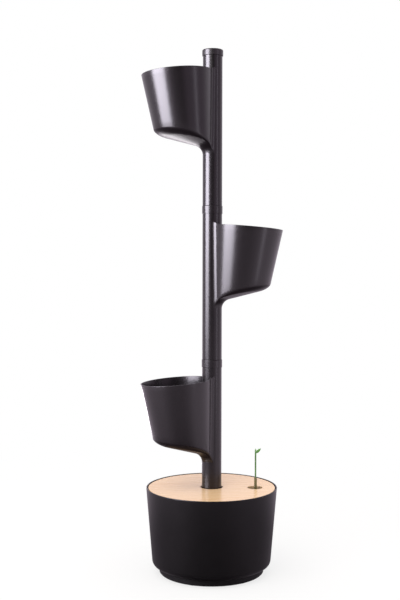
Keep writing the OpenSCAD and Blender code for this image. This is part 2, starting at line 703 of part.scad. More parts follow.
// Cap over the top seat, with an inner ring that centres it in the tube
module top_cap() {
    skirt_in = seat_r + slide_gap;
    ring_out = bore_r - slide_gap;
    ring_in = ring_out - tube_wall;
    roof_low = cap_rise - 3 * edge;
    color([0.16, 0.15, 0.165]) translate([0, 0, seam_z[3]]) rotate_extrude($fn = round_fn) polygon([
        [0, roof_low], [ring_in, roof_low], [ring_in, -seat_h], [ring_out - edge, -seat_h],
        [ring_out, edge - seat_h], [ring_out, 0], [skirt_in, 0], [skirt_in, slide_gap - seat_h],
        [cap_r - edge / 2, slide_gap - seat_h], [cap_r, edge + slide_gap - seat_h],
        [cap_r, cap_rise - 4 * edge], [cap_r - edge / 2, cap_rise - 2 * edge],
        [cap_r - 2 * edge, cap_rise - edge / 2], [cap_r - 4 * edge, cap_rise], [0, cap_rise]]);
}

tub();
foot_ring();
foot_pads();
tower_socket();
socket_screws();
wood_lid();
gauge_well();
gauge_guide();
gauge_float();
level_indicator();
low_module();
low_seal();
low_collar();
low_grid();
low_screen();
mid_module();
mid_seal();
mid_collar();
mid_grid();
mid_screen();
top_module();
top_seal();
top_grid();
top_screen();
top_cap();
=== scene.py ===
# %% [markdown]
# # A vertical planter tower
# Three round pots sit on a dark tube that stands in a water tub with a wooden lid.
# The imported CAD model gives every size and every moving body. This script dresses it:
# the pots, the tub and the lid are built again with smooth, rounded surfaces, each finish
# is mixed from nodes, and the small inner parts keep their CAD shape under a new finish.

# %% Start
import bmesh
import bpy
from math import cos, pi, radians, sin, tan
from mathutils import Matrix, Vector


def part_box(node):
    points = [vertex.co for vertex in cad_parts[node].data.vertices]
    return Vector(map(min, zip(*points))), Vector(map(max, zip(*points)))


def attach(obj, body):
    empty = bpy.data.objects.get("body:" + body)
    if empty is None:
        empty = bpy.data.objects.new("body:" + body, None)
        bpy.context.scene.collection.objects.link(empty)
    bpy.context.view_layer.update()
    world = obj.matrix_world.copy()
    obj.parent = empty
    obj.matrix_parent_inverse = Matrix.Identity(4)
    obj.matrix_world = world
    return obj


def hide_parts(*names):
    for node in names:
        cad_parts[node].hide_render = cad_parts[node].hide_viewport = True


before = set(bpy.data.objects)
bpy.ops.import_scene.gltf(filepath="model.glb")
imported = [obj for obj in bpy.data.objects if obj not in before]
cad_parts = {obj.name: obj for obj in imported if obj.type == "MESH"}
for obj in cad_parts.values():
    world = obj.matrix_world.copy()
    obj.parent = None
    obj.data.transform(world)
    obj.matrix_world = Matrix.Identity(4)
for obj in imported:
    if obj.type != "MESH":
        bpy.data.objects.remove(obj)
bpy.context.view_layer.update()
scene = bpy.context.scene
MM = 0.001

# %% [markdown]
# ## Sizes
# The sizes repeat the CAD source, in millimetres, because the two must agree. A module is
# one length of tube with its pot; the seams are the heights at which modules meet. The low
# and top pots reach to the left (half a turn), the middle pot to the right.

# %% Sizes of the tower, in millimetres
MODULE = 376
SEAMS = [142 + MODULE * k for k in range(4)]
TUBE, BORE, SEAT, SEAT_HIGH, SPIGOT, SPIGOT_BORE = 24, 21.8, 23.2, 9, 21.5, 19.3
LEVELS = {"low": (0, 180), "mid": (1, 0), "top": (2, 180)}
POT = {"Reach": 175, "Back": 1, "Rim Drop": 45, "Rim Sweep": 5, "Sweep Run": 20, "Under Drop": 239,
       "Wall": 2.6, "Corner Radius": 11, "Neck Radius": 17, "Under Radius": 24, "Lip Radius": 0.9,
       "Tube Radius": TUBE, "Hold Radius": TUBE - 0.05, "Sunk Radius": 23.3, "Module Height": MODULE}
POT_ANGLES = {"Lean": 12.9, "Rim Tilt": 4.5, "Under Tilt": 14.2}
CROWN_SHARE = 0.28      # how fast a pot's underside rises towards its sides
GAUGE_REACH, GAUGE_TURN = 107.5, radians(-12)
GAUGE = (GAUGE_REACH * cos(GAUGE_TURN), GAUGE_REACH * sin(GAUGE_TURN))
print("seams at", SEAMS, "mm, gauge at", [round(v, 1) for v in GAUGE])

# %% [markdown]
# ## Camera
# The photograph was taken from well back with a long lens, at about the height of the
# middle pot and a little to the left. A tilted camera would make the uprights lean, so the
# camera looks level and a lens shift brings the tower into the frame. The photograph itself
# is turned by a fraction of a degree, which a roll about the view's axis repeats.

# %% Camera
CAMERA_AWAY, CAMERA_HIGH, CAMERA_TURN, CAMERA_ROLL = 2.42, 0.747, radians(8), radians(0.15)
lens = bpy.data.cameras.new("camera")
lens.lens, lens.sensor_width = 59.22, 36
lens.shift_x, lens.shift_y = -0.0203, -0.0567
camera = bpy.data.objects.new("camera", lens)
scene.collection.objects.link(camera)
camera.location = (-CAMERA_AWAY * sin(CAMERA_TURN), -CAMERA_AWAY * cos(CAMERA_TURN), CAMERA_HIGH)
level_look = Matrix.Rotation(-CAMERA_TURN, 3, "Z") @ Matrix.Rotation(pi / 2, 3, "X")
camera.rotation_euler = (level_look @ Matrix.Rotation(CAMERA_ROLL, 3, "Z")).to_euler()
scene.camera = camera
print("camera at", [round(v, 3) for v in camera.location])

# %% [markdown]
# ## Nodes written as sums
# A finish is a calculation: take a noise, stretch it, mix two colours by it. Clicking that
# together takes long, so a small class wraps one output of a node. Adding two wires adds a
# Math node, and 1 - wire works as well as wire - 1. A second class adds any other node
# from its type, its settings and the values of its sockets. Both serve shaders and
# Geometry Nodes, because the two kinds of tree share their maths.

# %% Wires and graphs
class Wire:
    """One output of a node, for use in Python expressions."""
    def __init__(self, graph, socket):
        self.graph, self.socket = graph, socket
    def calc(self, operation, *values):
        return self.graph.add("ShaderNodeMath", {"operation": operation}, dict(enumerate(values)))
    def __add__(self, other): return self.calc("ADD", self, other)
    def __radd__(self, other): return self.calc("ADD", other, self)
    def __sub__(self, other): return self.calc("SUBTRACT", self, other)
    def __rsub__(self, other): return self.calc("SUBTRACT", other, self)
    def __mul__(self, other): return self.calc("MULTIPLY", self, other)
    def __rmul__(self, other): return self.calc("MULTIPLY", other, self)
    def __truediv__(self, other): return self.calc("DIVIDE", self, other)
    def __rtruediv__(self, other): return self.calc("DIVIDE", other, self)
    def __pow__(self, other): return self.calc("POWER", self, other)
    def __neg__(self): return self.calc("MULTIPLY", self, -1)
    def other(self, name): return Wire(self.graph, self.socket.node.outputs[name])


class Graph:
    """A node tree that takes nodes by type, settings and socket values."""
    def __init__(self, tree):
        self.tree = tree
    def add(self, kind, settings=None, sockets=None, out=0):
        made = self.tree.nodes.new(kind)
        for name, value in (settings or {}).items():
            if name == "stops":
                ramp = made.color_ramp.elements
                while len(ramp) < len(value): ramp.new(0.5)
                for stop, (place, colour) in zip(ramp, value): stop.position, stop.color = place, colour
            else:
                setattr(made, name, value)
        for key, value in (sockets or {}).items():
            if isinstance(value, Wire): self.tree.links.new(value.socket, made.inputs[key])
            else: made.inputs[key].default_value = value
        return Wire(self, made.outputs[out]) if len(made.outputs) else made


def root(a): return a.calc("SQRT", a)
def larger(a, b): return a.calc("MAXIMUM", a, b)
def smaller(a, b): return a.calc("MINIMUM", a, b)
def between(a, b, share): return share * (b - a) + a
print("wires ready")

# %% [markdown]
# ## The pot's rule
# Each pot is a stack of level slices. A slice is a circle that always touches the same
# upright line beside the tower's axis, and two hollow arcs run from it onto the tube, so
# the slice looks like a keyhole. Its radius shrinks downwards, which makes the pot lean.
# A shape with such a rule suits Geometry Nodes: flat grids are bent by the rule into the
# wall, the lip, the inside and the underside. Sculpting or subdividing would only come
# close to it. One group gives the keyhole, another the heights of rim, underside and floor.

# %% Groups for the keyhole outline and for the surface heights
SIZE_NAMES = list(POT) + ["Lean Share", "Rim Share", "Under Share", "Crown Share"]

def size_tree(name, extra_inputs, outputs):
    """A Geometry Nodes tree with all the pot's sizes as named inputs."""
    tree = bpy.data.node_groups.new(name, "GeometryNodeTree")
    for label, kind in extra_inputs + [(label, "NodeSocketFloat") for label in SIZE_NAMES]:
        tree.interface.new_socket(label, in_out="INPUT", socket_type=kind)
    for label, kind in outputs:
        tree.interface.new_socket(label, in_out="OUTPUT", socket_type=kind)
    graph = Graph(tree)
    first = graph.add("NodeGroupInput")
    return tree, graph, {s.name: Wire(graph, s) for s in first.socket.node.outputs if s.name}

def finish_tree(graph, results):
    graph.add("NodeGroupOutput", None, results)
    return graph.tree

MAIN_ARC = 0.8          # share of the points on the pot's own circle; the rest form the neck

def keyhole_group():
    number, vector = "NodeSocketFloat", "NodeSocketVector"
    tree, g, n = size_tree("keyhole outline", [("Across", number), ("Height", number), ("Inset", number)],
                           [("Outer", vector), ("Inner", vector)])
    rim_front = n["Module Height"] - n["Rim Drop"] - n["Reach"] * n["Rim Share"]
    full = (n["Reach"] - (rim_front - n["Height"]) * n["Lean Share"] - n["Back"]) * 0.5
    w = n["Across"].calc("ABSOLUTE", n["Across"])
    side = n["Across"].calc("SIGN", n["Across"])
    on_arc = smaller(w / MAIN_ARC, 1.0)
    on_neck = larger((w - MAIN_ARC) / (1 - MAIN_ARC), 0.0)
    # outer keyhole
    r = full - n["Inset"]
    c = r + n["Back"]
    hold, neck = n["Hold Radius"], n["Neck Radius"]
    fx = ((hold + neck) ** 2 - (r + neck) ** 2 + c * c) / (2 * c)
    fy = root((hold + neck) ** 2 - fx * fx)
    span = fy.calc("ARCTAN2", fy, fx - c)
    to_pot = fy.calc("ARCTAN2", -fy, c - fx)
    to_tube = fy.calc("ARCTAN2", -fy, -fx)
    turn = span * on_arc
    bend = between(to_pot, to_tube, on_neck)
    is_neck = w.calc("GREATER_THAN", w, MAIN_ARC)
    outer_x = between(c + r * turn.calc("COSINE", turn), fx + neck * bend.calc("COSINE", bend), is_neck)
    outer_y = between(r * turn.calc("SINE", turn), fy + neck * bend.calc("SINE", bend), is_neck) * side
    # inner circle, cut off where it enters the tube's wall
    mid = full + n["Back"]
    sunk = n["Sunk Radius"]
    meet = (sunk * sunk - mid * mid - r * r) / (2 * mid * r)
    last = meet.calc("ARCCOSINE", meet)
    turn_in = last * (on_arc * 0.955 + on_neck * 0.045)
    inner_x = mid + r * turn_in.calc("COSINE", turn_in)
    inner_y = r * turn_in.calc("SINE", turn_in) * side
    return finish_tree(g, {"Outer": g.add("ShaderNodeCombineXYZ", None, {0: outer_x, 1: outer_y}),
                           "Inner": g.add("ShaderNodeCombineXYZ", None, {0: inner_x, 1: inner_y})})

def heights_group():
    tree, g, n = size_tree("surface heights", [("Point", "NodeSocketVector")],
                           [("Rim", "NodeSocketFloat"), ("Under", "NodeSocketFloat"), ("Floor", "NodeSocketFloat")])
    x = g.add("ShaderNodeSeparateXYZ", None, {0: n["Point"]})
    y = x.other("Y")
    away = root(x * x + y * y)
    climb = larger(1 - larger(away - n["Tube Radius"], 0.0) / n["Sweep Run"], 0.0)
    rim = n["Module Height"] - n["Rim Drop"] - x * n["Rim Share"] + n["Rim Sweep"] * climb * climb
    slope = (n["Module Height"] - n["Under Drop"] + x * n["Under Share"]
             + n["Crown Share"] * y * y / larger(away, n["Tube Radius"]))
    lean = n["Under Share"].calc("ARCTANGENT", n["Under Share"])
    sine, cosine = lean.calc("SINE", lean), lean.calc("COSINE", lean)
    fall_end = n["Hold Radius"] + n["Under Radius"] * (1 - sine)
    q = larger(smaller(away, fall_end), n["Hold Radius"])
    a = 1 - (q - n["Hold Radius"]) / n["Under Radius"]
    high = root(larger(1 - a * a, 0.0))
    under = slope - n["Under Radius"] * (cosine - high) + (fall_end - q) * n["Under Share"]
    return finish_tree(g, {"Rim": rim, "Under": under, "Floor": slope + n["Wall"]})

KEYHOLE, HEIGHTS = keyhole_group(), heights_group()
print("keyhole group:", len(KEYHOLE.nodes), "nodes; heights group:", len(HEIGHTS.nodes), "nodes")

# %% [markdown]
# ## The pot's shell
# Ten flat grids become the shell: underside, lower rounding, wall, rounded lip, inner wall,
# inner rounding, floor, and a hidden strip inside the tube's wall. Every grid point has a
# place around the pot (u) and along its strip (v). A point's radius depends on its height
# and its height on its place, so each is worked out three times over, which settles both.

# %% Tree of the pot's shell
AROUND = 193

def pot_tree():
    tree, g, n = size_tree("pot shell", [("Finish", "NodeSocketMaterial")], [("Pot", "NodeSocketGeometry")])
    sizes = {label: n[label] for label in SIZE_NAMES}
    place = g.add("GeometryNodeInputPosition")
    u = g.add("ShaderNodeSeparateXYZ", None, {0: place})
    across, v = u * 2, u.other("Y") + 0.5
    lip, wall, bend = n["Lip Radius"], n["Wall"], n["Corner Radius"]
    inner_bend = bend - wall
    quarter = lambda share: share * (pi / 2)
    up_sine = lambda a: a.calc("SINE", a)
    up_cosine = lambda a: a.calc("COSINE", a)

    def heights(point):
        rim = g.add("GeometryNodeGroup", {"node_tree": HEIGHTS}, {**sizes, "Point": point})
        return rim, rim.other("Under"), rim.other("Floor")

    def settled(face, inset, rule):
        """The point (x, y, z) on the outer or inner face whose height follows a rule."""
        z = n["Module Height"] - n["Rim Drop"]
        for _ in range(3):
            outer = g.add("GeometryNodeGroup", {"node_tree": KEYHOLE},
                          {**sizes, "Across": across, "Height": z, "Inset": inset})
            point = outer if face == "outer" else outer.other("Inner")
            z = rule(*heights(point))
        x = g.add("ShaderNodeSeparateXYZ", None, {0: point})
        return x, x.other("Y"), z

    def drawn(x, y, share, rule):
        """A point drawn in towards the tube, by a share of its way."""
        away = root(x * x + y * y)
        near = n["Sunk Radius"] + (away - n["Sunk Radius"]) * share
        mx, my = x * near / away, y * near / away
        return mx, my, rule(*heights(g.add("ShaderNodeCombineXYZ", None, {0: mx, 1: my})))

    def patch(rows, point):
        flat = g.add("GeometryNodeMeshGrid", None, {0: 1.0, 1: 1.0, 2: AROUND, 3: rows})
        there = g.add("ShaderNodeCombineXYZ", None, dict(enumerate(point)))
        return g.add("GeometryNodeSetPosition", None, {"Geometry": flat, "Position": there})

    def mixed(a, b, share):
        return [between(p, q, share) for p, q in zip(a, b)]

    rim_rule = lambda shift: lambda rim, under, floor: rim + shift
    low_ring = settled("outer", bend, lambda rim, under, floor: under)
    under_edge = lambda share: drawn(low_ring[0], low_ring[1], share, lambda rim, under, floor: under)
    floor_ring = settled("inner", bend, lambda rim, under, floor: floor)
    floor_edge = lambda share: drawn(floor_ring[0], floor_ring[1], share, lambda rim, under, floor: floor)
    a = quarter(1 - v)
    corner = settled("outer", bend * (1 - up_cosine(a)),
                     lambda rim, under, floor: under + bend * (1 - up_sine(a)))
    side = settled("outer", 0.0, lambda rim, under, floor: between(under + bend, rim - lip, v))
    b = quarter(v)
    lip_out = settled("outer", lip * (1 - up_cosine(b)), rim_rule(-lip * (1 - up_sine(b))))
    lip_top = mixed(settled("outer", lip, rim_rule(0.0)), settled("inner", wall - lip, rim_rule(0.0)), v)
    lip_in = settled("inner", wall - lip * (1 - up_sine(b)), rim_rule(-lip * (1 - up_cosine(b))))
    inside = settled("inner", wall, lambda rim, under, floor: between(rim - lip, floor + inner_bend, v))
    inner_corner = settled("inner", wall + inner_bend * (1 - up_cosine(b)),
                           lambda rim, under, floor: floor + inner_bend * (1 - up_sine(b)))
    ease = v * v
    strips = [patch(16, under_edge(ease)), patch(9, corner), patch(12, side), patch(6, lip_out),
              patch(3, lip_top), patch(6, lip_in), patch(12, inside), patch(7, inner_corner),
              patch(12, floor_edge(1 - v)), patch(2, mixed(floor_edge(v * 0), under_edge(v * 0), v))]
    joined = g.add("GeometryNodeJoinGeometry")
    for strip in strips: g.tree.links.new(strip.socket, joined.socket.node.inputs[0])
    welded = g.add("GeometryNodeMergeByDistance", None, {"Geometry": joined, "Distance": 2e-6})
    smooth = g.add("GeometryNodeSetShadeSmooth", None, {"Geometry": welded})
    real = g.add("GeometryNodeRealizeInstances", None, {"Geometry": smooth})
    dressed = g.add("GeometryNodeSetMaterial", None, {"Geometry": real, "Material": n["Finish"]})
    return finish_tree(g, {"Pot": dressed})

POT_TREE = pot_tree()
print("pot tree:", len(POT_TREE.nodes), "nodes")

# %% [markdown]
# ## From a tree to a plain mesh
# A Geometry Nodes modifier on an empty mesh grows the shape. The named inputs are set by
# their sockets' identifiers before anything is evaluated. The result is copied out as a
# plain mesh and the host with its modifier is thrown away, so that nothing live is left.

# %% Growing, laying out and keeping pieces
def grown_mesh(tree, values):
    """Runs a Geometry Nodes tree once with named inputs and returns a plain mesh."""
    host = bpy.data.objects.new("host", bpy.data.meshes.new("host"))
    scene.collection.objects.link(host)
    modifier = host.modifiers.new("grow", "NODES")
    modifier.node_group = tree
    for item in tree.interface.items_tree:
        if item.in_out == "INPUT" and item.name in values:
            modifier[item.identifier] = values[item.name]
    bpy.context.view_layer.update()
    mesh = bpy.data.meshes.new_from_object(host.evaluated_get(bpy.context.evaluated_depsgraph_get()))
    bpy.data.objects.remove(host)
    return mesh


def joined_mesh(name, meshes):
    """One mesh out of several, with its open ends closed and its edges sharp past 32 degrees."""
    whole = bmesh.new()
    for mesh in meshes:
        whole.from_mesh(mesh)
        bpy.data.meshes.remove(mesh)
    bmesh.ops.holes_fill(whole, edges=[e for e in whole.edges if e.is_boundary])
    result = bpy.data.meshes.new(name)
    whole.to_mesh(result)
    whole.free()
    for face in result.polygons: face.use_smooth = True
    result.set_sharp_from_angle(angle=radians(32))
    return result


def keep(name, mesh, finish, body, slot, *replaced):
    """Makes a finished piece of a mesh that already lies in its place."""
    piece = bpy.data.objects.new(name, mesh)
    scene.collection.objects.link(piece)
    mesh.materials.clear()
    mesh.materials.append(finish)
    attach(piece, body)
    if replaced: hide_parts(*replaced)
    print(name, "on", body, "faces", len(mesh.polygons))

# %% [markdown]
# ## Turned pieces
# The tube, the collars, the cap, the tub and the gauge's guide are round, so each is a
# profile turned about an axis. Moulded and turned edges are never sharp: every corner of a
# profile gets a small arc. Beside each arc an extra point is set on the straight, which
# keeps the shading of the long flat parts free from the arc's.

# %% Profiles with rounded corners, and turning them
def rounded(corners, steps=5):
    """Profile points (r, z) from corners (r, z, radius), all in millimetres."""
    points = []
    for k, (r, z, size) in enumerate(corners):
        here = Vector((r, z))
        if not size:
            points.append(here)
            continue
        back = Vector(corners[k - 1][:2]) - here
        ahead = Vector(corners[(k + 1) % len(corners)][:2]) - here
        half = back.angle(ahead) / 2
        reach = min(size / tan(half), 0.49 * back.length, 0.49 * ahead.length)
        size = reach * tan(half)
        middle = here + (back.normalized() + ahead.normalized()).normalized() * size / sin(half)
        first = here + back.normalized() * reach - middle
        last = here + ahead.normalized() * reach - middle
        spare = min(0.35 * size, 0.2 * (back.length - reach), 0.2 * (ahead.length - reach))
        points.append(here + back.normalized() * (reach + spare))
        points += [middle + first.normalized().slerp(last.normalized(), i / steps) * size
                   for i in range(steps + 1)]
        points.append(here + ahead.normalized() * (reach + spare))
    return points


def turned(profile, around=160, at=(0, 0)):
    """A closed solid: a closed profile in millimetres, turned about an upright axis."""
    spun = bmesh.new()
    rings = []
    steps = [(cos(2 * pi * k / around), sin(2 * pi * k / around)) for k in range(around)]
    for r, z in profile:
        rings.append([spun.verts.new(((at[0] + r * x) * MM, (at[1] + r * y) * MM, z * MM)) for x, y in steps])
    for ring, following in zip(rings, rings[1:] + rings[:1]):
        for k in range(around):
            spun.faces.new((ring[k], ring[(k + 1) % around], following[(k + 1) % around], following[k]))
    bmesh.ops.remove_doubles(spun, verts=spun.verts, dist=2e-6)
    bmesh.ops.dissolve_degenerate(spun, dist=1e-7, edges=spun.edges)
    bmesh.ops.recalc_face_normals(spun, faces=spun.faces)
    mesh = bpy.data.meshes.new("turned")
    spun.to_mesh(mesh)
    spun.free()
    return mesh

print("a rounded square has", len(rounded([(0, 0, 1), (9, 0, 1), (9, 9, 1), (0, 9, 1)])), "points")

# %% [markdown]
# ## Finishes
# A finish starts as a Principled shader. Colours that are the same all over are set on the
# shader itself; what changes over the surface comes through wires. All patterns read Object
# coordinates, in metres from the tower's foot, so they stay on their pieces in every pose.

# %% A new finish
def finish(name, **fixed):
    """A material with its Principled shader; fixed values go straight onto its sockets."""
    made = bpy.data.materials.new(name)
    made.use_nodes = True
    made.node_tree.nodes.clear()
    graph = Graph(made.node_tree)
    shader = graph.add("ShaderNodeBsdfPrincipled", None, {key.replace("_", " "): v for key, v in fixed.items()})
    graph.add("ShaderNodeOutputMaterial", None, {"Surface": shader})
    where = graph.add("ShaderNodeTexCoord").other("Object")
    return made, graph, shader.socket.node, where


def feed(graph, shader, **wires):
    for key, wire in wires.items():
        graph.tree.links.new(wire.socket, shader.inputs[key.replace("_", " ")])


def noise(graph, where, scale, detail=2.0, roughness=0.5, stretch=(1, 1, 1), shift=(0, 0, 0)):
    placed = graph.add("ShaderNodeMapping", None, {"Vector": where, "Scale": stretch, "Location": shift})
    return graph.add("ShaderNodeTexNoise", None, {"Vector": placed, "Scale": scale, "Detail": detail,
                                                  "Roughness": roughness})


def ramp(graph, value, *stops):
    return graph.add("ShaderNodeValToRGB", {"stops": [(p, c if len(c) == 4 else (*c, 1)) for p, c in stops]},
                     {"Fac": value})


def mixed_colour(graph, share, one, two):
    one, two = (colour if isinstance(colour, Wire) else (*colour, 1) for colour in (one, two))
    return graph.add("ShaderNodeMix", {"data_type": "RGBA"}, {0: share, 6: one, 7: two}, out=2)


def bump(graph, height, strength, distance):
    return graph.add("ShaderNodeBump", None, {"Height": height, "Strength": strength, "Distance": distance})


def window(value, low, high):
    """0 below low, 1 above high, and a straight rise between."""
    return smaller(larger((value - low) / (high - low), 0.0), 1.0)

print("finish helpers ready")

# %% [markdown]
# ## Moulded plastic
# The tower is injection-moulded in charcoal with a breath of purple-brown, satin to glossy.
# A perfect black mirror would look like paint. Real mouldings have a very fine texture,
# slow waves where the plastic shrank, slightly uneven gloss, and a little dust that
# settles on what faces up. On what faces down a second, less reflecting shader takes over,
# a painted shade that dims reflections under the pots. The same mix serves every plastic piece.

# %% Plastic
DUST_COLOUR = (0.5, 0.48, 0.46)

def plastic(name, dark, light, gloss, gloss_change, grain, waves, dust=0.0, specular=0.5, under=0.0):
    """Dark and light are the two cloudy tones. Gloss is a roughness, grain and waves are heights in
    metres, and under is the weaker reflection of what faces down, a painted shade under the pots."""
    made, g, shader, where = finish(name, Specular_IOR_Level=specular, IOR=1.5)
    cloudy = noise(g, where, 9.0, 3.0)
    fine = noise(g, where, 2600.0, 1.0)
    slow = noise(g, where, 14.0, 1.0, shift=(3, 1, 2))
    smudge = noise(g, where, 38.0, 4.0, 0.6, shift=(5, 0, 1))
    colour = mixed_colour(g, window(cloudy, 0.35, 0.65), dark, light)
    up = g.add("ShaderNodeSeparateXYZ", None, {0: g.add("ShaderNodeNewGeometry").other("Normal")}).other("Z")
    specks = window(noise(g, where, 900.0, 2.0), 0.6, 0.68) * window(smudge, 0.4, 0.6)
    dusty = specks * window(up, 0.25, 0.95) * dust
    colour = mixed_colour(g, dusty, colour, DUST_COLOUR)
    rough = larger(gloss + (smudge - 0.5) * gloss_change + dusty * 0.4, 0.05)
    normal = bump(g, fine * grain + slow * waves, 1.0, 1.0)
    feed(g, shader, Base_Color=colour, Roughness=rough, Normal=normal)
    # Painted shade: on what faces down a second, weaker reflecting shader takes over, which dims the lid's warm
    # reflection under the pots.
    if under:
        shaded_under_shader = g.add("ShaderNodeBsdfPrincipled", None,
                     {"Specular IOR Level": under, "IOR": 1.5, "Base Color": colour,
                      "Roughness": rough + 0.05, "Normal": normal})
        out = next(node for node in made.node_tree.nodes if node.type == "OUTPUT_MATERIAL")
        glossy = Wire(g, shader.outputs[0])
        both = g.add("ShaderNodeMixShader", None, {0: window(-up, 0.15, 0.55), 1: glossy, 2: shaded_under_shader})
        made.node_tree.links.new(both.socket, out.inputs["Surface"])
    return made

TOWER = plastic("tower plastic", (0.0076, 0.0053, 0.0071), (0.0098, 0.0069, 0.0092), gloss=0.26,
                gloss_change=0.03, grain=3e-7, waves=4e-5, dust=0.08, under=0.05)
TRIM = plastic("collar plastic", (0.0088, 0.0063, 0.0084), (0.011, 0.0079, 0.0105), gloss=0.27,
               gloss_change=0.04, grain=1.0e-6, waves=4e-5, dust=0.08)
CAP = plastic("cap plastic", (0.012, 0.0088, 0.0115), (0.016, 0.0118, 0.0152), gloss=0.33,
              gloss_change=0.1, grain=2.5e-6, waves=6e-5, dust=0.3)
TUB = plastic("tub plastic", (0.0050, 0.0039, 0.0050), (0.0068, 0.0053, 0.0067), gloss=0.34,
              gloss_change=0.06, grain=1.2e-6, waves=1.0e-4, dust=0.06, specular=0.3)
FOOT = plastic("foot plastic", (0.006, 0.005, 0.006), (0.0085, 0.007, 0.0085), gloss=0.45,
               gloss_change=0.12, grain=4e-6, waves=1e-4, specular=0.3)
INNER = plastic("inner plastic", (0.03, 0.028, 0.031), (0.042, 0.04, 0.043), gloss=0.5,
                gloss_change=0.1, grain=5e-6, waves=1e-4, dust=0.3)
WELL = plastic("well plastic", (0.42, 0.44, 0.42), (0.5, 0.52, 0.49), gloss=0.45,
               gloss_change=0.1, grain=5e-6, waves=1e-4)
print("plastics mixed")

# %% [markdown]
# ## Wood
# The lid is a disc with a pale lacquered face. Veneer is cut along the trunk, so its grain
# runs one way in long flames. Stretched noise bends a set of fine bands into such flames;
# a second, finer noise makes short dark pores. The rim of the disc and the walls of its
# holes cross the layers of the board, so there thin level stripes replace the flames.

# %% Wood of the lid
def lid_wood():
    made, g, shader, where = finish("lid wood", Specular_IOR_Level=0.5, IOR=1.5)
    flow = noise(g, where, 2.6, 3.0, 0.55, stretch=(0.5, 3.2, 1))
    rows = g.add("ShaderNodeSeparateXYZ", None, {0: where})
    bands = rows.other("Y") * 230 + flow * 34
    flame = bands.calc("SINE", bands) * 0.5 + 0.5
    broad = noise(g, where, 5.0, 2.0, 0.5, stretch=(0.35, 1.6, 1), shift=(2, 1, 0))
    fibre = noise(g, where, 260.0, 3.0, 0.65, stretch=(0.05, 1, 1))
    pores = window(noise(g, where, 520.0, 2.0, 0.5, stretch=(0.035, 1, 1), shift=(0, 4, 0)), 0.62, 0.72)
    tone = flame * 0.16 + broad * 0.5 + fibre * 0.3
    face = ramp(g, tone, (0.2, (0.93, 0.645, 0.385)), (0.5, (0.90, 0.605, 0.345)), (0.8, (0.84, 0.52, 0.27)))
    face = mixed_colour(g, pores * 0.3, face, (0.60, 0.38, 0.21))
    layer = rows.other("Z") * 2100
    ply = window(layer.calc("SINE", layer), -0.25, 0.25)
    rim = mixed_colour(g, ply, (0.40, 0.26, 0.14), (0.56, 0.40, 0.25))
    rim = mixed_colour(g, window(fibre, 0.45, 0.75) * 0.4, rim, (0.5, 0.32, 0.18))
    facing = g.add("ShaderNodeSeparateXYZ", None, {0: g.add("ShaderNodeNewGeometry").other("Normal")}).other("Z")
    flat = window(facing.calc("ABSOLUTE", facing), 0.55, 0.8)
    rough = 0.2 + fibre * 0.1 + pores * 0.15 + (1 - flat) * 0.3
    relief = bump(g, fibre * 6e-6 + pores * -2e-5 + flame * 3e-6, 1.0, 1.0)
    feed(g, shader, Base_Color=mixed_colour(g, flat, rim, face), Roughness=rough, Normal=relief)
    return made

WOOD = lid_wood()
print("wood mixed")

# %% [markdown]
# ## Small finishes
# The sprout is smooth green plastic, deeper green along its rod and fresher in its leaves.
# The guide is olive, the float is beaded foam, the screws are zinc-plated, and the rubber
# seals and pads are matt. One speckled mix serves all but the sprout: a noise shifts the
# colour, the gloss and a low relief together, at the grain of each material.

# %% Green, olive, foam, steel and rubber
def sprout_green():
    made, g, shader, where = finish("sprout green", Specular_IOR_Level=0.5, IOR=1.46)
    height = g.add("ShaderNodeSeparateXYZ", None, {0: where}).other("Z")
    mottle = noise(g, where, 120.0, 3.0)
    leafy = window(height, 0.285, 0.3) * 0.6 + (mottle - 0.5) * 0.5
    green = mixed_colour(g, window(leafy, 0.0, 0.7), (0.075, 0.19, 0.045), (0.13, 0.33, 0.07))
    feed(g, shader, Base_Color=green, Roughness=0.36 + mottle * 0.12,
         Normal=bump(g, noise(g, where, 900.0, 2.0), 1.0, 6e-6))
    return made


def speckled(name, dark, light, scale, rough, height, metal=0.0, stretch=(1, 1, 1)):
    made, g, shader, where = finish(name, Metallic=metal, Specular_IOR_Level=0.5)
    cells = noise(g, where, scale, 3.0, 0.6, stretch)
    feed(g, shader, Base_Color=mixed_colour(g, window(cells, 0.3, 0.7), dark, light),
         Roughness=rough + (cells - 0.5) * 0.2, Normal=bump(g, cells, 1.0, height))
    return made

GREEN = sprout_green()
OLIVE = speckled("guide olive", (0.115, 0.098, 0.032), (0.15, 0.13, 0.045), 300.0, 0.38, 8e-6)
FOAM = speckled("float foam", (0.62, 0.62, 0.58), (0.8, 0.8, 0.75), 420.0, 0.8, 1.5e-4)
STEEL = speckled("screw steel", (0.5, 0.5, 0.53), (0.66, 0.66, 0.68), 700.0, 0.3, 5e-6, 1.0, (1, 1, 0.1))
RUBBER = speckled("black rubber", (0.012, 0.012, 0.012), (0.022, 0.022, 0.021), 900.0, 0.7, 2e-5)
print("small finishes mixed")

# %% [markdown]
# ## The three modules
# One module is a tube with its pot. The pot's shell comes from its tree, the tube is turned,
# and both become one mesh. It is made once and laid at each seam, turned half round for the
# low and the top pot. Seats, spigot and groove repeat the CAD profile with rounded edges.

# %% Modules
def tube_profile():
    return rounded([(SPIGOT_BORE, -40, 0), (SPIGOT, -40, 0.8), (SPIGOT, -14.8, 0), (19.85, -14.8, 0),
                    (19.85, -13.2, 0), (SPIGOT, -13.2, 0), (SPIGOT, 0, 0), (TUBE, 0, 0.8),
                    (TUBE, MODULE - SEAT_HIGH, 0.2), (SEAT, MODULE - SEAT_HIGH, 0), (SEAT, MODULE, 0.4),
                    (BORE, MODULE, 0.2), (BORE, 4.4, 0), (SPIGOT_BORE, 2.2, 0)], 3)

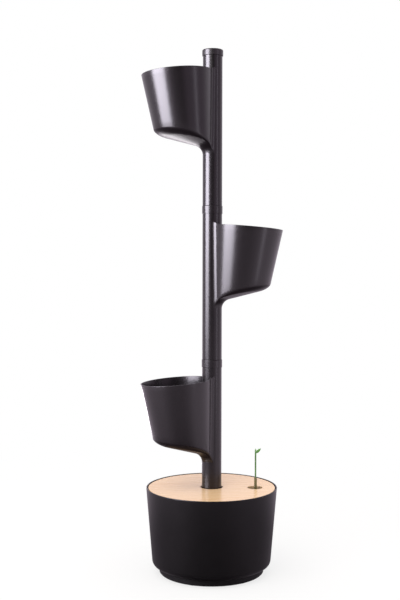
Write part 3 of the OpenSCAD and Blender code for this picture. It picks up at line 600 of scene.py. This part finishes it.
pot_values = {name: value * MM for name, value in POT.items()} | {
    "Crown Share": CROWN_SHARE, "Lean Share": tan(radians(POT_ANGLES["Lean"])),
    "Rim Share": tan(radians(POT_ANGLES["Rim Tilt"])),
    "Under Share": tan(radians(POT_ANGLES["Under Tilt"])), "Finish": TOWER}
for level, (seam, turn) in LEVELS.items():
    mesh = joined_mesh(level + "_pot", [grown_mesh(POT_TREE, pot_values), turned(tube_profile(), 144)])
    mesh.transform(Matrix.Translation((0, 0, SEAMS[seam] * MM)) @ Matrix.Rotation(radians(turn), 4, "Z"))
    keep(level + "_pot_and_tube", mesh, TOWER, level, "tower_plastic", level + "_module")

# %% [markdown]
# ## Trim of the tower
# A collar hides each seam between two modules and a flat cap closes the tube. A bevelled
# cylinder would show the same facets all round; a turned profile gives each corner its own
# rounding, wide enough on the outside to catch a thin line of light.

# %% Collars and cap
for level in ("low", "mid"):
    seam = SEAMS[LEVELS[level][0]]
    ring = turned(rounded([(24.05, seam + 357, 0.1), (25.1, seam + 357, 0.9), (25.1, seam + 376, 1.0),
                           (23.25, seam + 376, 0), (23.25, seam + 367.1, 0), (24.05, seam + 367.1, 0)]), 144)
    keep(level + "_seam_collar", joined_mesh(level + "_seam_collar", [ring]), TRIM, level, "collar_plastic",
         level + "_collar")
end = SEAMS[3]
cap = turned(rounded([(0, end + 4.1, 0), (19.3, end + 4.1, 0), (19.3, end - 9, 0), (21.5, end - 9, 0.5),
                      (21.5, end, 0), (23.5, end, 0), (23.5, end - 8.7, 0.3), (25.8, end - 8.7, 0.6),
                      (25.8, end + 6.5, 2.6), (0, end + 6.5, 0)]), 144)
keep("end_cap", joined_mesh("end_cap", [cap]), CAP, "cap", "cap_plastic", "top_cap")

# %% [markdown]
# ## The water tub
# The tub's shell is turned: a flat underside, a wide bend, a wall that leans outwards by
# five degrees and a rounded rim. Its ribs repeat round the axis, which is work for Geometry
# Nodes: one rib is a small box whose ends follow two lines, and points at one place, turned
# step by step, carry its copies. Twelve ribs inside hold the lid up; eight stiffen the
# underside. The gauge's seat, the centring ring and the screw bosses are turned as well.

# %% Tree of ribs round the axis
def rib_tree():
    tree = bpy.data.node_groups.new("ribs round the axis", "GeometryNodeTree")
    for label in ("Count", "Inner Low", "Inner High", "Outer Low", "Outer High", "Low", "High", "Thickness"):
        tree.interface.new_socket(label, in_out="INPUT",
                                  socket_type="NodeSocketInt" if label == "Count" else "NodeSocketFloat")
    tree.interface.new_socket("Finish", in_out="INPUT", socket_type="NodeSocketMaterial")
    tree.interface.new_socket("Ribs", in_out="OUTPUT", socket_type="NodeSocketGeometry")
    g = Graph(tree)
    first = g.add("NodeGroupInput")
    n = {s.name: Wire(g, s) for s in first.socket.node.outputs if s.name}
    block = g.add("GeometryNodeMeshCube", None,
                  {"Size": (1, 1, 1), "Vertices X": 2, "Vertices Y": 2, "Vertices Z": 6})
    at = g.add("ShaderNodeSeparateXYZ", None, {0: g.add("GeometryNodeInputPosition")})
    outward, upward = at + 0.5, at.other("Z") + 0.5
    inner = between(n["Inner Low"], n["Inner High"], upward)
    outer = between(n["Outer Low"], n["Outer High"], upward)
    there = g.add("ShaderNodeCombineXYZ", None,
                  {0: between(inner, outer, outward), 1: at.other("Y") * n["Thickness"],
                   2: between(n["Low"], n["High"], upward)})
    rib = g.add("GeometryNodeSetPosition", None, {"Geometry": block, "Position": there})
    step = (g.add("GeometryNodeInputIndex") + 0.5) * (2 * pi) / n["Count"]
    points = g.add("GeometryNodePoints", None, {"Count": n["Count"]})
    copies = g.add("GeometryNodeInstanceOnPoints", None,
                   {"Points": points, "Instance": rib,
                    "Rotation": g.add("ShaderNodeCombineXYZ", None, {2: step})})
    real = g.add("GeometryNodeRealizeInstances", None, {"Geometry": copies})
    dressed = g.add("GeometryNodeSetMaterial", None, {"Geometry": real, "Material": n["Finish"]})
    return finish_tree(g, {"Ribs": dressed})

RIB_TREE = rib_tree()

def ribs(count, inner, outer, heights, thickness, material):
    """Ribs in millimetres; inner and outer give the radius at the lower and the upper end."""
    sizes = {"Inner Low": inner[0], "Inner High": inner[1], "Outer Low": outer[0], "Outer High": outer[1],
             "Low": heights[0], "High": heights[1], "Thickness": thickness}
    metres = {name: value * MM for name, value in sizes.items()}
    return grown_mesh(RIB_TREE, metres | {"Count": count, "Finish": material})

print("rib tree:", len(RIB_TREE.nodes), "nodes")

# %% [markdown]
# ## The tub, put together
# The real tub is one moulding. Welding shell, ribs and bosses by Booleans would cost clean
# shading at every seam, so here they overlap by a millimetre or two inside one mesh and no
# gap can show. The wall's radius grows evenly with height, and the ribs follow it.

# %% The tub with its ribs
TUB_LOW, TUB_FLOOR, TUB_TOP = 18, 21, 207
TUB_LOW_R, TUB_TOP_R = 143.8, 160
RIB_ENDS = (26, 194)
SCREW_CIRCLE = 38

def tub_r(z):
    return TUB_LOW_R + (z - TUB_LOW) * (TUB_TOP_R - TUB_LOW_R) / (TUB_TOP - TUB_LOW)


def tube_ring(inner, outer, low, high, at=(0, 0), around=64, soft=0.4):
    corners = [(inner, low, soft), (outer, low, soft), (outer, high, soft), (inner, high, soft)]
    return turned(rounded(corners, 3), around, at)

tub_shell = turned(rounded([(0, TUB_LOW, 0), (TUB_LOW_R, TUB_LOW, 14), (TUB_TOP_R, TUB_TOP, 1.3),
                            (156.99, TUB_TOP, 0.9), (tub_r(TUB_FLOOR) - 3.01, TUB_FLOOR, 11),
                            (0, TUB_FLOOR, 0)], 10), 224)
lid_ribs = ribs(12, [tub_r(z) - 12 for z in RIB_ENDS], [tub_r(z) - 1.5 for z in RIB_ENDS], RIB_ENDS, 3, TUB)
floor_ribs = ribs(8, (2, 2), (99, 99), (12, 19.5), 3, TUB)
tub_parts = [tub_shell, tube_ring(97.7, 100.7, 13, 19.5, around=128),
             tube_ring(15.05, 17.7, 19.5, 30, GAUGE), lid_ribs, floor_ribs]
for k in range(4):
    at = (SCREW_CIRCLE * cos(k * pi / 2), SCREW_CIRCLE * sin(k * pi / 2))
    tub_parts.append(turned(rounded([(0, 7, 0), (5.5, 7, 0.6), (5.5, 19.5, 0), (0, 19.5, 0)], 3), 40, at))
keep("water_tub", joined_mesh("water_tub", tub_parts), TUB, "base", "tub_plastic", "tub")

# %% [markdown]
# ## The wooden lid
# The lid is a board with soft edges that lies in the rim, with one hole in the middle for
# the tower. It is turned. Its second hole, for the gauge and a finger, stands off the
# middle, so it can't be turned. A Boolean cuts it with a turned cutter that flares at both
# faces, which leaves a small bevel round the hole.

# %% Lid with its gauge hole
LID_HOLE_R, LID_SOFT = TUBE + 3, 1.2
GAUGE_HOLE_R, GAUGE_HOLE_REACH = 18.2, GAUGE_REACH - 1.5
low_corner, high_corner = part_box("wood_lid")
lid_r, lid_low, lid_top = high_corner.x / MM, low_corner.z / MM, high_corner.z / MM
lid_mesh = joined_mesh("lid", [turned(rounded([(LID_HOLE_R, lid_low, LID_SOFT), (lid_r, lid_low, LID_SOFT),
                                               (lid_r, lid_top, LID_SOFT), (LID_HOLE_R, lid_top, LID_SOFT)],
                                              5), 224)])
hole = (GAUGE_HOLE_REACH * cos(GAUGE_TURN), GAUGE_HOLE_REACH * sin(GAUGE_TURN))
flared = GAUGE_HOLE_R + 3
cutter_mesh = joined_mesh("cutter", [turned([(0, lid_low - 2), (flared, lid_low - 2), (GAUGE_HOLE_R, lid_low + 1),
                                             (GAUGE_HOLE_R, lid_top - 1), (flared, lid_top + 2),
                                             (0, lid_top + 2)], 128, hole)])
cutter = bpy.data.objects.new("cutter", cutter_mesh)
blank = bpy.data.objects.new("blank", lid_mesh)
for helper in (cutter, blank): scene.collection.objects.link(helper)
cut = blank.modifiers.new("gauge hole", "BOOLEAN")
cut.object, cut.operation, cut.solver = cutter, "DIFFERENCE", "EXACT"
bpy.context.view_layer.update()
lid_cut = bpy.data.meshes.new_from_object(blank.evaluated_get(bpy.context.evaluated_depsgraph_get()))
for helper in (cutter, blank): bpy.data.objects.remove(helper)
keep("wooden_lid", joined_mesh("wooden_lid", [lid_cut]), WOOD, "lid", "lid_wood", "wood_lid")
print("lid", round(lid_r, 2), "mm in radius, from", round(lid_low, 1), "to", round(lid_top, 1))

# %% [markdown]
# ## The water gauge
# An olive guide stands in the hole, and out of it comes a thin green rod with two leaves.
# Guide and rod are turned, and the rod ends in a dome. A leaf cut from a flat sheet would
# vanish from the side, so it is a ring of points carried along its length: its width follows
# a sine, it is thick along its midrib and thin at its edge, and it bows a little.

# %% Guide and sprout
guide = turned(rounded([(2.1, 181, 0), (13.1, 181, 0.6), (13.1, 188, 0), (15, 188, 0.2), (15, 191, 0.6),
                        (3.4, 191, 1.4), (3.4, 231, 0.7), (2.1, 231, 0.2)], 5), 64, GAUGE)
keep("gauge_neck", joined_mesh("gauge_neck", [guide]), OLIVE, "base", "guide_plastic", "gauge_guide")


def leaf(length, width, thick, bow, base, lean):
    """A leaf blade from its base upwards, tipped over by lean, closed all round."""
    blade = bmesh.new()
    rows, columns = 18, 12
    rings = []
    for i in range(rows + 1):
        t = i / rows
        half = max(width / 2 * sin(pi * t ** 0.85) ** 0.8, 0.12)
        ring = []
        for k in range(columns):
            a = 2 * pi * k / columns
            across, deep = half * cos(a), thick / 2 * sin(a) * (0.45 + 0.55 * abs(sin(a)))
            rib = 0.22 * max(0, 1 - abs(across) / 0.6) * (1 - t)
            point = Vector((across, deep * (1 - 0.5 * t) + (rib if deep > 0 else -rib) + bow * t * t, length * t))
            ring.append(blade.verts.new(point))
        rings.append(ring)
    for one, two in zip(rings, rings[1:]):
        for k in range(columns):
            blade.faces.new((one[k], one[(k + 1) % columns], two[(k + 1) % columns], two[k]))
    for ring in (rings[0], rings[-1]): blade.faces.new(ring)
    bmesh.ops.recalc_face_normals(blade, faces=blade.faces)
    mesh = bpy.data.meshes.new("leaf")
    blade.to_mesh(mesh)
    blade.free()
    mesh.transform(Matrix.Scale(MM, 4) @ Matrix.Translation(base) @ Matrix.Rotation(GAUGE_TURN, 4, "Z")
                   @ Matrix.Rotation(radians(lean), 4, "Y"))
    return mesh

ROD_R, ROD_LOW, FORK = 1.95, 86.2, 290
rod = turned(rounded([(0, ROD_LOW, 0), (ROD_R, ROD_LOW, 0.3), (ROD_R, FORK + 2, 1.4), (0, FORK + 2, 0)], 5),
             32, GAUGE)
upright_leaf = leaf(11, 3.9, 2.4, 0.2, (*GAUGE, FORK), 0)
leaning_leaf = leaf(17.6, 7.0, 2.0, -0.6, (*GAUGE, FORK - 0.4), 47)
sprout = [rod, upright_leaf, leaning_leaf]
keep("sprout", joined_mesh("sprout", sprout), GREEN, "gauge", "sprout_plastic", "level_indicator")

# %% [markdown]
# ## Inner parts
# Socket, screws, well, float, seals, false floors and screens show only through gaps, from
# above or when the lid is up, so they keep their CAD shape. The foot ring and the pads are
# plain turned parts in the tub's shadow and keep theirs too. Making them again would add
# work and no likeness. Each gets its own finish by its object's material slot.

# %% Finishes for the CAD nodes that stay
INNER_FINISH = {"tower_socket": INNER, "socket_screws": STEEL, "gauge_well": WELL, "gauge_float": FOAM,
                "foot_ring": FOOT, "foot_pads": RUBBER}
for level in LEVELS:
    INNER_FINISH |= {level + "_seal": RUBBER, level + "_grid": INNER, level + "_screen": INNER}
for node, material in INNER_FINISH.items():
    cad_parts[node].data.materials.clear()
    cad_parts[node].data.materials.append(material)
print(len(INNER_FINISH), "CAD nodes dressed")

# %% [markdown]
# ## Directions of the room
# Dark glossy plastic shows hardly any colour of its own: it shows the room. In a studio that
# is white behind and beside the object and dark towards the camera. Floor and sky both need
# to know how far a place lies towards the camera, so that is measured first, from the fixed
# turn of the camera about the tower.

# %% What faces the camera
FRONT = Vector((-sin(CAMERA_TURN), -cos(CAMERA_TURN), 0))
ASIDE = Vector((cos(CAMERA_TURN), -sin(CAMERA_TURN), 0))

def along(g, place, direction):
    return g.add("ShaderNodeVectorMath", {"operation": "DOT_PRODUCT"}, {0: place, 1: direction}).other("Value")


def frontness(g, place):
    """1 straight towards the camera from the tower, 0 square to it, -1 behind."""
    flat = g.add("ShaderNodeVectorMath", {"operation": "MULTIPLY"}, {0: place, 1: (1, 1, 0)})
    return along(g, g.add("ShaderNodeVectorMath", {"operation": "NORMALIZE"}, {0: flat}), FRONT)

print("towards the camera:", [round(v, 3) for v in FRONT])

# %% [markdown]
# ## Floor
# The scene has a white sweep with hardly a shadow. More light would whiten the floor,
# but the object too. So the floor stays pale paper, and only what the camera sees of it is
# pushed towards white, most of all far out, which keeps a soft shadow near the tub. Mirrored
# rays meet a second, painted floor: bright far out, with painted shade near the tower and
# darkest on the camera's side, and a painted glow patch behind, lit by no lamp, that
# shows as a painted highlight in what faces down.

# %% Floor
PAINTED_GLOW = 12               # how much brighter than white the painted glow patch behind is in a mirror; no lamp lights it

def floor_finish():
    made = bpy.data.materials.new("floor")
    made.use_nodes = True
    made.node_tree.nodes.clear()
    g = Graph(made.node_tree)
    spot = g.add("ShaderNodeTexCoord").other("Object")
    path = g.add("ShaderNodeLightPath")
    far = g.add("ShaderNodeVectorMath", {"operation": "LENGTH"}, {0: spot}).other("Value")
    paper = g.add("ShaderNodeBsdfDiffuse", None, {"Color": (0.93, 0.92, 0.93, 1)})
    white = g.add("ShaderNodeEmission", None, {"Color": (1.0, 1.0, 1.0, 1), "Strength": 1.0})
    seen = path.other("Is Camera Ray") * (0.74 + 0.26 * window(far, 0.4, 1.6))
    shown = g.add("ShaderNodeMixShader", None, {0: seen, 1: paper, 2: white})
    # Painted shade: for mirrored rays the floor is an emission, dim near the tower where the object's shadow would
    # fall.
    ahead, reach = window(frontness(g, spot), 0.6, 0.95), window(far, 0.45, 1.1)
    level = between(between(0.25, 1.0, reach), between(0.04, 0.48, reach), ahead)
    back, left = -along(g, spot, FRONT), -along(g, spot, ASIDE)
    # Painted glow: a patch behind and to the left, lit by no lamp, seen only in mirrors as a painted highlight on
    # what faces down.
    painted_glow = (window(back, 1.4, 1.8) * (1 - window(back, 3.0, 3.8))
            * window(left, 0.05, 0.2) * (1 - window(left, 0.8, 1.2)))
    tint = mixed_colour(g, painted_glow, (1.0, 0.86, 1.0), (1.0, 0.96, 0.99))
    mirrored = g.add("ShaderNodeEmission", None, {"Color": tint, "Strength": level + painted_glow * PAINTED_GLOW})
    both = g.add("ShaderNodeMixShader", None, {0: path.other("Is Glossy Ray"), 1: shown, 2: mirrored})
    g.add("ShaderNodeOutputMaterial", None, {"Surface": both})
    return made

ground = bpy.data.meshes.new("floor")
ground.from_pydata([(-9, -9, 0), (9, -9, 0), (9, 9, 0), (-9, 9, 0)], [], [(0, 1, 2, 3)])
floor = bpy.data.objects.new("floor", ground)
ground.materials.append(floor_finish())
scene.collection.objects.link(floor)
print("floor", len(ground.polygons), "face")

# %% [markdown]
# ## Sky and soft boxes
# An even white sky lights everything at about the strength at which colours look as written,
# and a large soft lamp from the upper left gives the shapes a gentle side. An even sky in a
# mirror would turn the dark plastic grey all over, so mirrored rays see the studio's room:
# white behind, grey at the sides, nearly black where the camera stands. The long highlights
# come from a tall soft box at the left, strong above and weaker below, and a slim one at
# the right. They light nothing and are only mirrored, so the wood keeps its colour.

# %% Sky and soft boxes
sky = bpy.data.worlds.new("sky")
scene.world = sky
sky.use_nodes = True
sky.node_tree.nodes.clear()
g = Graph(sky.node_tree)
path = g.add("ShaderNodeLightPath")
front = frontness(g, g.add("ShaderNodeTexCoord"))
lit = g.add("ShaderNodeBackground", None, {"Color": (1.0, 0.985, 0.97, 1), "Strength": 1.0})
room = ramp(g, front * 0.5 + 0.5, (0.3, (0.95, 0.86, 0.97)), (0.52, (0.56, 0.45, 0.57)),
            (0.945, (0.50, 0.39, 0.51)), (0.985, (0.03, 0.024, 0.03)))
mirrored = g.add("ShaderNodeBackground", None, {"Color": room, "Strength": 1.0})
seen = g.add("ShaderNodeBackground", None, {"Color": (1, 1, 1, 1), "Strength": 1.0})
dimmed = g.add("ShaderNodeMixShader", None, {0: path.other("Is Glossy Ray"), 1: lit, 2: mirrored})
both = g.add("ShaderNodeMixShader", None, {0: path.other("Is Camera Ray"), 1: dimmed, 2: seen})
g.add("ShaderNodeOutputWorld", None, {"Surface": both})


def soft_box(name, place, target, size, power, only_mirrored=True, colour=(1, 1, 1)):
    lamp = bpy.data.lights.new(name, "AREA")
    lamp.shape, lamp.size, lamp.size_y, lamp.energy, lamp.color = "RECTANGLE", size[0], size[1], power, colour
    box = bpy.data.objects.new(name, lamp)
    scene.collection.objects.link(box)
    box.location = place
    box.rotation_euler = (Vector(target) - Vector(place)).to_track_quat("-Z", "Y").to_euler()
    box.visible_diffuse = not only_mirrored


def beside(turn, high, away=1.9):
    """A place at an angle to the left of the camera's direction, seen from the tower."""
    whole = CAMERA_TURN + radians(turn)
    return (-away * sin(whole), -away * cos(whole), high)

LAVENDER = (0.93, 0.885, 1.0)
soft_box("left box", beside(62, 1.5), (0, 0, 1.5), (1.42, 1.4), 142, colour=LAVENDER)
soft_box("left box below", beside(62, 0.61), (0, 0, 0.61), (1.42, 0.38), 18, colour=LAVENDER)
soft_box("right box", beside(-58, 1.1), (0, 0, 1.1), (0.25, 1.8), 3, colour=LAVENDER)
soft_box("top light", (-1.3, -1.5, 2.6), (0, 0, 0.3), (2.4, 2.4), 34, only_mirrored=False,
         colour=(1.0, 0.97, 0.93))
scene.view_settings.view_transform = "Standard"
